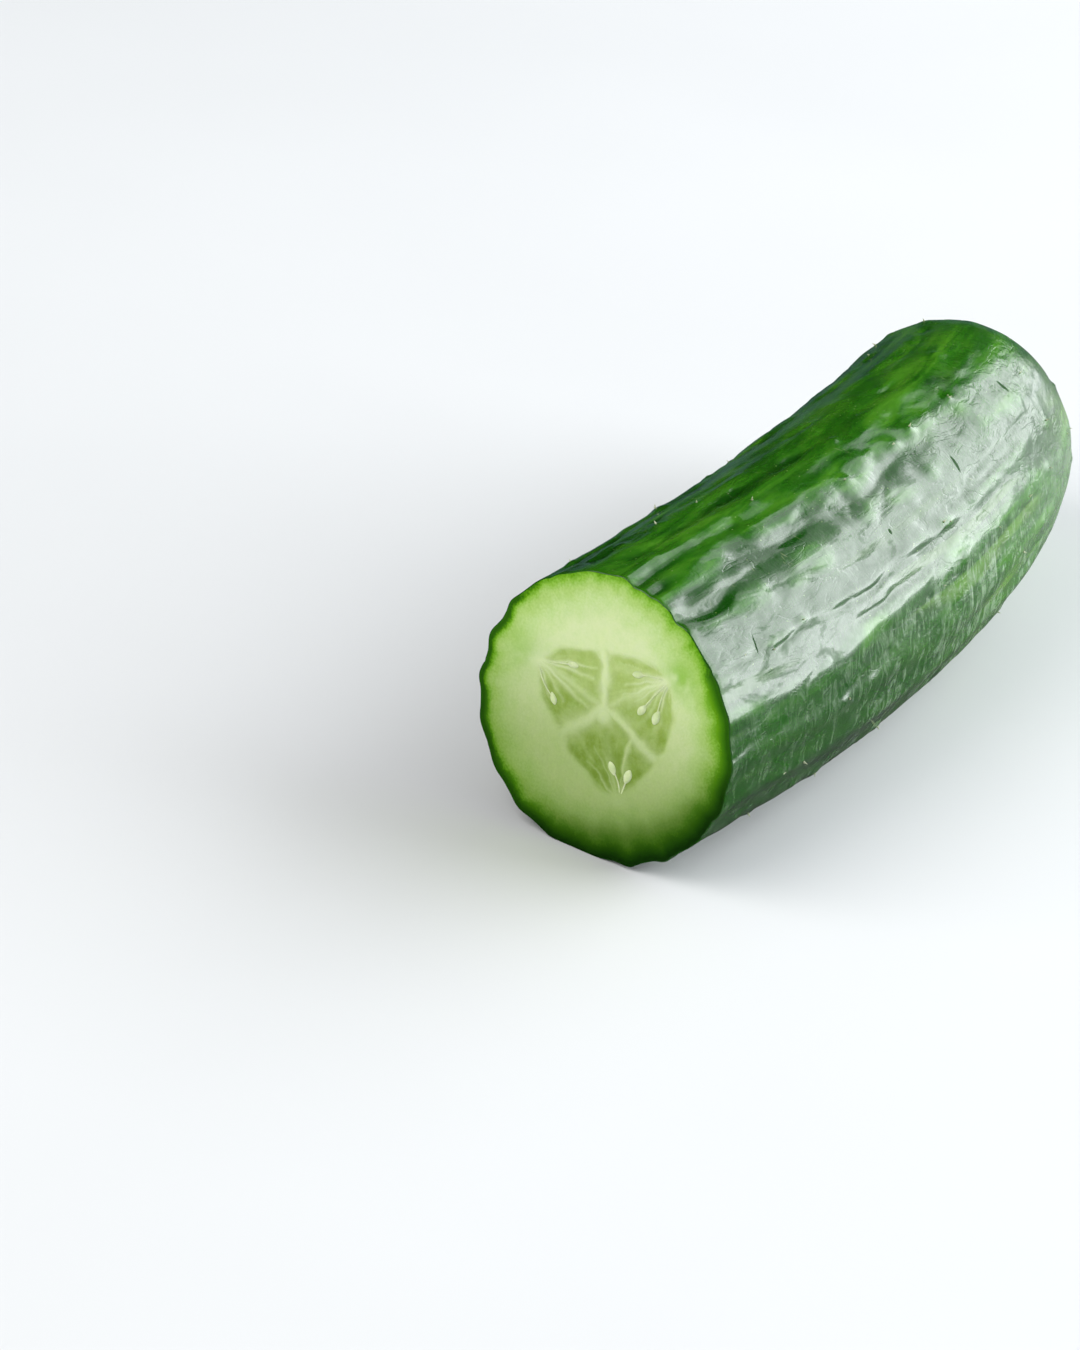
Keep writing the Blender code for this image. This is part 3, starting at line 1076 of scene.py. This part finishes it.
def repeated(shape, places, ups, facings, sizes):
    """Copies of one shape: each point becomes place + x size up + y size facing + z size third
    axis, all copies at once. shape is (points, 3), and returns (copies, points, 3)."""
    third = np.cross(ups, facings)
    axes = np.stack([ups, facings, third], 1) * sizes[:, :, None]
    return places[:, None, :] + np.einsum("pk,ckd->cpd", shape, axes)


def capsule_grid(rings, around, profile):
    """A closed shape of revolution round X: profile(t) gives (x, radius) for t from 0 to 1,
    and both ends close in one point."""
    share = np.linspace(0.0, 1.0, rings + 2)[1:-1]
    x, radius = profile(share)
    turn = np.linspace(0.0, 2.0 * math.pi, around, endpoint=False)
    ring = np.stack(
        [
            np.repeat(x[:, None], around, 1),
            radius[:, None] * np.cos(turn),
            radius[:, None] * np.sin(turn),
        ],
        -1,
    )
    ends = np.array([profile(np.array([end]))[0][0] for end in (0.0, 1.0)])
    caps = np.stack([ends, 0.0 * ends, 0.0 * ends], -1)
    points = np.concatenate([ring.reshape(-1, 3), caps])
    return points, *closed_tube(rings, around)


def closed_tube(rings, around):
    """Faces of a tube of rings whose two end points follow them in the list of points. Each
    ring turns the right-handed way round the tube's run."""
    quads = ring_faces(rings, around)
    first = fan_faces(rings * around, 0, around, True)
    last = fan_faces(rings * around + 1, (rings - 1) * around, around, False)
    return quads[:, ::-1], np.concatenate([first, last])[:, ::-1]


def many(name, parts):
    """One piece out of many closed shapes: (quads, triangles, copies) for each kind."""
    all_points, all_quads, all_triangles = [], [], []
    start = 0
    for quads, triangles, copies in parts:
        shift = (start + np.arange(len(copies)) * copies.shape[1])[:, None, None]
        all_points.append(copies.reshape(-1, 3))
        all_quads.append((quads[None] + shift).reshape(-1, 4))
        all_triangles.append((triangles[None] + shift).reshape(-1, 3))
        start += copies.shape[0] * copies.shape[1]
    return add_piece(
        name,
        np.concatenate(all_points),
        np.concatenate(all_quads),
        np.concatenate(all_triangles),
    )


def seed_shape(share):
    """A drop: x runs along it, and the radius is sqrt(sin) narrowed towards the pointed end."""
    return share - 0.5, 0.5 * np.sin(math.pi * share) ** 0.75 * (0.62 + 0.38 * share)


def build_seeds(seeds):
    """The seeds that the knife left in the gel, half sunk, and the stalk of each: a tube whose
    line bows by b sin(pi t) between its node and its seed, and thins towards the seed."""
    draw = np.random.default_rng(5)
    roots, tips, bearings = [], [], []
    for chamber in CHAMBERS:
        turn, reach = chamber["node"]
        root = toward(STAR, turn, reach)
        for swing, length, _, at in chamber["threads"]:
            if at is not None:
                roots.append(root)
                tips.append(toward(root, turn + 180.0 + swing, length * at))
                bearings.append(math.radians(turn + 180.0 + swing))
    root, tip, bearing = np.array(roots) * MM, np.array(tips) * MM, np.array(bearings)
    lean = bearing + draw.normal(0.0, 0.12, len(tip))
    size = draw.uniform(0.88, 1.12, len(tip))

    def on_face(flat, proud):
        """Points of the cut, proud of it by this much."""
        angle, radius = np.arctan2(flat[..., 1], flat[..., 0]), np.hypot(flat[..., 0], flat[..., 1])
        place = to_frame(np.zeros_like(radius), angle, radius)
        place[..., 0] -= proud
        return place

    side = np.stack([0.0 * lean, -np.cos(lean), np.sin(lean)], -1)
    outward = np.tile([-1.0, 0.0, 0.0], (len(tip), 1))
    sizes = size[:, None] * np.array([seeds.length, seeds.width * 0.55, seeds.width])
    grid = capsule_grid(11, 18, seed_shape)
    drops = repeated(grid[0], on_face(tip, -seeds.sunk), side, outward, sizes)

    rings, around = 10, 8
    share = np.linspace(0.0, 1.0, rings)
    run = tip - root
    normal = np.stack([-run[:, 1], run[:, 0]], -1) / np.linalg.norm(run, axis=1, keepdims=True)
    bow = draw.normal(0.0, 0.35, len(tip)) * MM
    path = root[:, None, :] + run[:, None, :] * share[:, None]
    path = path + normal[:, None, :] * (bow[:, None] * np.sin(math.pi * share))[..., None]
    turn = np.linspace(0.0, 2.0 * math.pi, around, endpoint=False)
    width = seeds.stalk * (1.0 - 0.45 * share) * np.sqrt(np.clip(4.0 * share, 0.3, 1.0))
    flat = path[:, :, None, :] + normal[:, None, None, :] * (width[:, None] * np.cos(turn))[..., None]
    proud = -0.12 * MM + 0.6 * width[:, None] * np.sin(turn)
    tubes = on_face(flat, np.broadcast_to(proud, flat.shape[:3])).reshape(len(tip), -1, 3)
    ends = on_face(path[:, [0, -1]], -0.10 * MM)
    tubes = np.concatenate([tubes, ends], 1)
    tube_grid = closed_tube(rings, around)

    parts = [(grid[1], grid[2], drops), (tube_grid[0], tube_grid[1], tubes)]
    piece = many("seeds", parts)
    piece.data.materials.append(seed_material(seeds))
    return piece


def build_stubs(stubs, fruit):
    """The dry stubs of spines that stand on the warts, each leaning its own way."""
    places = warts(fruit.wart_count)[: stubs.stub_count]
    draw = np.random.default_rng(23)
    distance, angle = places[:, 0], places[:, 1]
    radius = skin_radius(distance, angle, fruit)
    root = to_frame(distance, angle, radius - 0.12 * MM)
    outer = to_frame(distance, angle, radius + 1.0 * MM)
    out = outer - root
    out /= np.linalg.norm(out, axis=1, keepdims=True)
    lean = draw.normal(0.0, 0.45, (len(places), 3))
    up = out + lean
    up /= np.linalg.norm(up, axis=1, keepdims=True)
    facing = np.cross(up, np.array([0.31, 0.17, 0.93]))
    facing /= np.linalg.norm(facing, axis=1, keepdims=True)
    size = draw.uniform(0.7, 1.3, len(places))[:, None]
    sizes = size * np.array([stubs.height, stubs.thickness, stubs.thickness])

    def cone(share):
        """A blunt cone with a swollen foot."""
        return share, 0.5 * np.sqrt(np.clip(1.0 - share, 0.0, 1.0)) * (0.35 + np.exp(-5.0 * share))

    grid = capsule_grid(4, 7, cone)
    keep = root[:, 2] > 1.5 * MM
    copies = repeated(grid[0], root[keep], up[keep], facing[keep], sizes[keep])
    piece = many("spine_stubs", [(grid[1], grid[2], copies)])
    piece.data.materials.append(cork_material("dry_spine", stubs.dark, stubs.light))
    return piece


def build_scar(scar):
    """The corky scar that the flower left: a low button of radius r with a five-pointed swell,
    its rim rolled over and its middle sunk."""
    around, rings = 60, 10
    turn = np.linspace(0.0, 2.0 * math.pi, around, endpoint=False)
    share = np.linspace(0.0, 1.0, rings + 1)[1:]
    reach, bearing = np.meshgrid(share, turn, indexing="ij")
    flat = np.stack([reach * np.cos(bearing) * 4.0, reach * np.sin(bearing) * 4.0, 0.0 * reach], -1)
    petal = 1.0 + 0.10 * np.cos(5.0 * bearing) + 0.06 * grain(flat, 7)
    rolled = 0.55 * np.exp(-(((reach - 0.72) / 0.22) ** 2))
    swell = 0.25 * np.cos(5.0 * bearing) * reach * (1.0 - reach)
    height = rolled + swell + 0.10 * grain(flat * 1.7, 8) * reach
    front = np.stack([reach * petal, height], -1)
    back = np.stack([reach[::-1] * petal, np.full_like(reach, -0.8)], -1)
    sheet = np.concatenate([front, back])
    bearing = np.concatenate([bearing, bearing[::-1]])

    tip = BODY_LENGTH
    out = np.array([math.cos(heading(tip)), math.sin(heading(tip)), 0.0])
    side = np.array([-out[1], out[0], 0.0])
    centre = to_frame(np.full(1, tip), np.zeros(1), np.zeros(1))[0] - out * scar.sunk

    def place(radius, rise, angle):
        return (
            centre
            + side * (radius * np.cos(angle) * scar.radius)[..., None]
            + np.array([0.0, 0.0, 1.0]) * (radius * np.sin(angle) * scar.radius)[..., None]
            + out * (rise * scar.height)[..., None]
        )

    points = place(sheet[..., 0], sheet[..., 1], bearing).reshape(-1, 3)
    zero = np.zeros(1)
    points = np.concatenate([points, place(zero, zero, zero), place(zero, zero - 0.8, zero)])
    quads = ring_faces(2 * rings, around)
    hub = fan_faces(len(points) - 2, 0, around, True)
    foot = fan_faces(len(points) - 1, (2 * rings - 1) * around, around, False)
    piece = add_piece("blossom_scar", points, quads, np.concatenate([hub, foot]))
    piece.data.materials.append(cork_material("corky_scar", scar.dark, scar.light))
    return piece


# ---------------------------------------------------------------------------
# Studio
# ---------------------------------------------------------------------------

# Each soft box: its azimuth and elevation in degrees, its distance, width and height in
# metres, its colour, and how it fades towards its upper right corner, seen from behind: the
# share of its light that is left at each place from the lower left corner to there.
WINDOW_FADE = ((0.32, 1.0), (0.48, 0.84), (0.61, 0.78), (0.78, 0.20))
WINDOW_BOX = (59.0, 26.0, 1.3, (2.3, 1.35), (0.95, 0.98, 1.0), WINDOW_FADE)
FRONT_BOX = (-115.0, 42.0, 1.2, (1.1, 0.9), (1.0, 0.985, 0.95), ())
BOX_AIM = Vector((0.0, 0.0, 30.0 * MM))  # the point that the soft boxes face
FLOOR_SIDES = 96
FLOOR_DROP = 0.02 * MM  # the floor lies this far under the fruit, so that they don't share a plane


def direction(azimuth, elevation):
    """The unit vector from the fruit towards a camera or lamp. Azimuth 0 is seen looking along
    +Y, and 90 looking along -X."""
    return Vector(
        (
            math.sin(azimuth) * math.cos(elevation),
            -math.cos(azimuth) * math.cos(elevation),
            math.sin(elevation),
        )
    )


def add_floor(stage):
    """A plain pale floor, a round sheet. In the wax it shows as a painted reflection: darker towards -X,
    and a dark teal towards +Y.
    """
    turn = np.linspace(0.0, 2.0 * math.pi, FLOOR_SIDES, endpoint=False)
    ring = np.stack([np.cos(turn), np.sin(turn), 0.0 * turn], -1) * stage.floor_radius
    points = np.concatenate([ring, np.zeros((1, 3))])
    points[:, 2] = -FLOOR_DROP
    faces = fan_faces(FLOOR_SIDES, 0, FLOOR_SIDES, True)
    floor = add_piece("studio_floor", points, np.zeros((0, 4), int), faces)
    make = Recipe("pale_floor")
    place = make.place()
    tone = make.noise(place, 6.0, 3.0, 0.5)
    lighter = [min(1.0, part * 1.02) for part in stage.floor_colour]
    pale = make.ramp(tone, ((0.35, stage.floor_colour), (0.65, lighter)))
    along, side, _ = make.parts(place)
    # Painted reflection: to glossy rays the floor is drawn dimmer towards -X and a dark teal towards +Y.
    share = make.times(make.between(along, -0.02, 0.30, 0.08, 1.0), stage.painted_floor_reflection)
    dim = make.mix(1.0, pale, share, "MULTIPLY")
    dim = make.mix(make.between(side, 0.0, 0.07), dim, stage.painted_far_reflection)
    mirrored = make.node("ShaderNodeLightPath").outputs["Is Glossy Ray"]
    floor.data.materials.append(
        make.surface(
            Base_Color=make.mix(mirrored, pale, dim),
            Roughness=make.between(tone, 0.3, 0.7, 0.75, 0.85),
        )
    )


def add_lamp(name, radiance, box):
    """A soft box that faces the fruit. radiance is how bright its face looks."""
    azimuth, elevation, distance, size, colour, fade = box
    lamp = bpy.data.lights.new(name, "AREA")
    lamp.shape = "RECTANGLE"
    lamp.size, lamp.size_y = size
    lamp.energy = radiance * math.pi * size[0] * size[1]
    lamp.color = colour
    if fade:
        lamp.use_nodes = True
        make = Nodes(lamp.node_tree)
        across, up, _ = make.parts(make.node("ShaderNodeNewGeometry").outputs["Parametric"])
        corner = make.times(make.plus(across, up), 0.5)
        left = make.ramp(corner, [(spot, (share,) * 3) for spot, share in fade], "EASE")
        make.feed(make.tree.nodes["Emission"].inputs["Color"], left)
    item = bpy.data.objects.new(name, lamp)
    towards = direction(math.radians(azimuth), math.radians(elevation))
    item.location = BOX_AIM + towards * distance
    item.rotation_mode = "QUATERNION"
    item.rotation_quaternion = towards.to_track_quat("Z", "Y")
    bpy.context.scene.collection.objects.link(item)


def add_world(stage):
    """A dim even light from all round, which the glossy skin doesn't mirror."""
    world = bpy.data.worlds.new("studio_air")
    world.use_nodes = True
    back = world.node_tree.nodes["Background"]
    back.inputs["Color"].default_value = (*stage.air_colour, 1.0)
    back.inputs["Strength"].default_value = stage.air_strength
    world.cycles_visibility.glossy = False
    bpy.context.scene.world = world


def add_camera(stage):
    """A long lens, looking down at the cut end from the side, a little turned in its mount."""
    lens = bpy.data.cameras.new("studio_camera")
    lens.sensor_width = 36.0
    lens.lens = stage.lens
    lens.clip_start, lens.clip_end = 0.05, 20.0
    camera = bpy.data.objects.new("studio_camera", lens)
    back = direction(stage.camera_azimuth, stage.camera_elevation)
    aim = Vector((CUT_CENTRE[0], CUT_CENTRE[1], 0.0)) + Vector(stage.camera_aim)
    right = Vector((0.0, 0.0, 1.0)).cross(back).normalized()
    top = back.cross(right)
    turned = math.cos(stage.camera_roll) * right + math.sin(stage.camera_roll) * top
    top = back.cross(turned)
    axes = Matrix((turned, top, back)).transposed()
    camera.matrix_world = Matrix.Translation(aim + back * stage.camera_distance) @ axes.to_4x4()
    bpy.context.scene.collection.objects.link(camera)
    bpy.context.scene.camera = camera


# ---------------------------------------------------------------------------
# Settings, operators and panel
# ---------------------------------------------------------------------------


def length(name, description, default, high=1.0):
    return FloatProperty(
        name=name, description=description, default=default, min=0.0, max=high, precision=5, unit="LENGTH"
    )


def angle(name, description, degrees):
    return FloatProperty(
        name=name, description=description, default=math.radians(degrees), subtype="ANGLE"
    )


def number(name, description, default, high=100.0):
    return FloatProperty(name=name, description=description, default=default, min=0.0, max=high)


def count(name, description, default):
    return IntProperty(name=name, description=description, default=default, min=1, max=400)


def colour(name, description, default):
    return FloatVectorProperty(
        name=name, description=description, default=default, size=3, min=0.0, max=1.0, subtype="COLOR"
    )


class CucumberFruitSettings(PropertyGroup):
    rib_height: length("Rib height", "Height of the lengthwise ribs", 0.50 * MM)
    wrinkle_height: length("Wrinkle height", "Depth of the creases between pads", 0.24 * MM)
    wart_count: count("Warts", "How many warts the skin has", 110)
    dimple_depth: length("Dimple depth", "How far the blossom end is sunk in", 0.9 * MM)
    # The skin's darkest green, and also the colour of the painted shade in the hollows and on the lower
    # flank.
    skin_dark_and_shade: colour("Dark skin", "The skin's darkest green", (0.006, 0.055, 0.003))
    skin_green: colour("Skin", "The skin's usual green", (0.020, 0.118, 0.005))
    skin_light: colour("Light skin", "The skin's lightest green", (0.062, 0.215, 0.012))
    stripe_green: colour("Stripes", "Lighter stripes between ribs", (0.21, 0.42, 0.055))
    speck_green: colour("Specks", "Pale pores of the skin", (0.30, 0.46, 0.14))
    scuff_tan: colour("Scuffs", "Old dry scratches", (0.30, 0.36, 0.17))
    # Partly real pale wax dust, partly a painted reflection of the floor and a painted sheen towards the
    # tip.
    bloom_and_reflection_grey: colour("Bloom", "Dry bloom on the flank", (0.27, 0.37, 0.25))
    rim_green: colour("Rim", "Cut edge of the skin", (0.026, 0.130, 0.001))
    rind_green: colour("Green rind", "Flesh just under the skin", (0.064, 0.236, 0.001))
    rind_lime: colour("Lime rind", "Flesh a little deeper", (0.143, 0.378, 0.004))
    rind_pale: colour("Pale rind", "Flesh where the green runs out", (0.286, 0.54, 0.060))
    flesh_lime: colour("Lime flesh", "Flesh next to the rind", (0.45, 0.65, 0.18))
    flesh_green: colour("Green flesh", "Flesh half way in", (0.59, 0.75, 0.33))
    flesh_pale: colour("Pale flesh", "Flesh round the seed core", (0.71, 0.81, 0.46))
    flesh_mottle: colour("Mottle", "Tint of the greener patches of flesh", (0.80, 0.92, 0.66))
    gel_light: colour("Light gel", "Tint of the shallow gel", (0.76, 0.83, 0.56))
    gel_deep: colour("Deep gel", "Tint of the deep gel", (0.50, 0.60, 0.22))
    thread_pale: colour("Threads", "Walls and threads of the seed core", (0.78, 0.87, 0.55))
    # Painted shade: the tint that darkens the flesh towards the bottom.
    painted_under_shade: colour("Lower flesh", "Tint of the flesh towards the bottom", (0.55, 0.62, 0.42))
    # Painted shadow: the tint of the flesh where it is darkest, at the bottom of the cut.
    painted_foot_shadow: colour("Lowest flesh", "Tint of the flesh at the bottom", (0.24, 0.36, 0.10))


class CucumberSeedSettings(PropertyGroup):
    length: length("Length", "Length of a seed", 2.7 * MM)
    width: length("Width", "Width of a seed", 1.6 * MM)
    stalk: length("Stalk", "Half width of a seed's stalk at its root", 0.19 * MM)
    sunk: length("Sunk", "How deep a seed's middle lies in the gel", 0.24 * MM)
    seed_colour: colour("Seed", "Colour of the seeds", (0.70, 0.79, 0.47))
    edge_colour: colour("Seed edge", "Greener colour of the seeds", (0.55, 0.68, 0.32))


class CucumberStubSettings(PropertyGroup):
    stub_count: count("Stubs", "How many warts keep a stub", 64)
    height: length("Height", "Height of a stub", 0.68 * MM)
    thickness: length("Thickness", "Thickness of a stub's foot", 0.52 * MM)
    dark: colour("Dark", "Darker colour of the stubs", (0.34, 0.38, 0.20))
    light: colour("Light", "Lighter colour of the stubs", (0.72, 0.74, 0.55))


class CucumberScarSettings(PropertyGroup):
    radius: length("Radius", "Radius of the blossom scar", 2.9 * MM)
    height: length("Height", "Height of its rolled rim", 0.7 * MM)
    sunk: length("Sunk", "How far it sits in from the tip", 0.70 * MM)
    dark: colour("Dark", "Darker cork", (0.16, 0.12, 0.05))
    light: colour("Light", "Lighter cork", (0.44, 0.38, 0.20))


class CucumberStageSettings(PropertyGroup):
    lens: FloatProperty(
        name="Lens", description="Focal length", default=173.4, min=20, max=400, unit="CAMERA"
    )
    camera_distance: length("Camera distance", "From the aim point", 1.079, high=10.0)
    camera_azimuth: angle("Azimuth", "Camera's side", -58.92)
    camera_elevation: angle("Elevation", "Camera's height", 26.14)
    camera_roll: angle("Roll", "Turn of the camera in its mount", 7.57)
    camera_aim: FloatVectorProperty(
        name="Aim",
        description="Point on the floor that the camera looks at, from below the cut's centre",
        default=(47.5 * MM, 41.2 * MM, -0.6 * MM),
        size=3,
        subtype="XYZ",
    )
    floor_radius: length("Floor radius", "Radius of the floor", 6.0, high=50.0)
    floor_colour: colour("Floor", "Colour of the floor", (0.70, 0.71, 0.72))
    # Painted reflection: how dark the floor is drawn where the wax mirrors it.
    painted_far_reflection: colour(
        "Far floor in the wax", "Floor beyond the fruit, as the wax mirrors it", (0.012, 0.052, 0.052)
    )
    painted_floor_reflection: number("Mirrored floor", "How bright the floor is in the wax", 0.85, high=1.0)
    air_colour: colour("Air", "Colour of the light from all round", (0.93, 0.96, 1.0))
    air_strength: number("Air", "Strength of that light", 0.35)
    window: number("Window", "Brightness of the large soft box", 6.4)
    fill: number("Fill", "Brightness of the soft box before the cut", 3.3)


def finish_piece(piece):
    """What each piece needs: it moves with the fruit."""
    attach(piece, BODY)


class CUCUMBER_OT_fruit(Operator):
    """Build the fruit: skin, cut face and dimpled tip in one closed mesh"""

    bl_idname = "cucumber.fruit"
    bl_label = "Build Fruit"

    def execute(self, context):
        piece = build_fruit(context.scene.cucumber_fruit)
        finish_piece(piece)
        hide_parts(SOLID)
        return {"FINISHED"}


class CUCUMBER_OT_seeds(Operator):
    """Build the seeds that show in the cut"""

    bl_idname = "cucumber.seeds"
    bl_label = "Build Seeds"

    def execute(self, context):
        finish_piece(build_seeds(context.scene.cucumber_seeds))
        return {"FINISHED"}


class CUCUMBER_OT_stubs(Operator):
    """Build the dry spine stubs on the warts"""

    bl_idname = "cucumber.stubs"
    bl_label = "Build Spine Stubs"

    def execute(self, context):
        scene = context.scene
        finish_piece(build_stubs(scene.cucumber_stubs, scene.cucumber_fruit))
        return {"FINISHED"}


class CUCUMBER_OT_scar(Operator):
    """Build the corky scar of the blossom end"""

    bl_idname = "cucumber.scar"
    bl_label = "Build Blossom Scar"

    def execute(self, context):
        finish_piece(build_scar(context.scene.cucumber_scar))
        return {"FINISHED"}


class CUCUMBER_OT_stage(Operator):
    """Build the floor, the lamps, the even light and the camera"""

    bl_idname = "cucumber.stage"
    bl_label = "Build Studio"

    def execute(self, context):
        stage = context.scene.cucumber_stage
        add_camera(stage)
        add_floor(stage)
        add_world(stage)
        add_lamp("window_box", stage.window, WINDOW_BOX)
        add_lamp("front_box", stage.fill, FRONT_BOX)
        context.scene.view_settings.view_transform = "Standard"
        return {"FINISHED"}


class CUCUMBER_PT_panel(Panel):
    """Lists the cucumber's pieces"""

    bl_idname = "CUCUMBER_PT_panel"
    bl_label = "Cucumber"
    bl_space_type = "VIEW_3D"
    bl_region_type = "UI"
    bl_category = "Cucumber"

    def draw(self, context):
        for settings, operator in ROWS:
            box = self.layout.box()
            box.operator(operator.bl_idname)
            group = getattr(context.scene, settings)
            for name in group.bl_rna.properties.keys():
                if name not in ("rna_type", "name"):
                    box.prop(group, name)


GROUPS = {
    "cucumber_fruit": CucumberFruitSettings,
    "cucumber_seeds": CucumberSeedSettings,
    "cucumber_stubs": CucumberStubSettings,
    "cucumber_scar": CucumberScarSettings,
    "cucumber_stage": CucumberStageSettings,
}
ROWS = (
    ("cucumber_stage", CUCUMBER_OT_stage),
    ("cucumber_fruit", CUCUMBER_OT_fruit),
    ("cucumber_seeds", CUCUMBER_OT_seeds),
    ("cucumber_stubs", CUCUMBER_OT_stubs),
    ("cucumber_scar", CUCUMBER_OT_scar),
)
CLASSES = (*GROUPS.values(), *(row[1] for row in ROWS), CUCUMBER_PT_panel)


def register():
    for item in CLASSES:
        bpy.utils.register_class(item)
    for name, group in GROUPS.items():
        setattr(bpy.types.Scene, name, PointerProperty(type=group))


def unregister():
    for name in GROUPS:
        delattr(bpy.types.Scene, name)
    for item in reversed(CLASSES):
        bpy.utils.unregister_class(item)


def main():
    register()
    bpy.ops.cucumber.stage()
    bpy.ops.cucumber.fruit()
    bpy.ops.cucumber.seeds()
    bpy.ops.cucumber.stubs()
    bpy.ops.cucumber.scar()


if __name__ == "__main__":
    main()
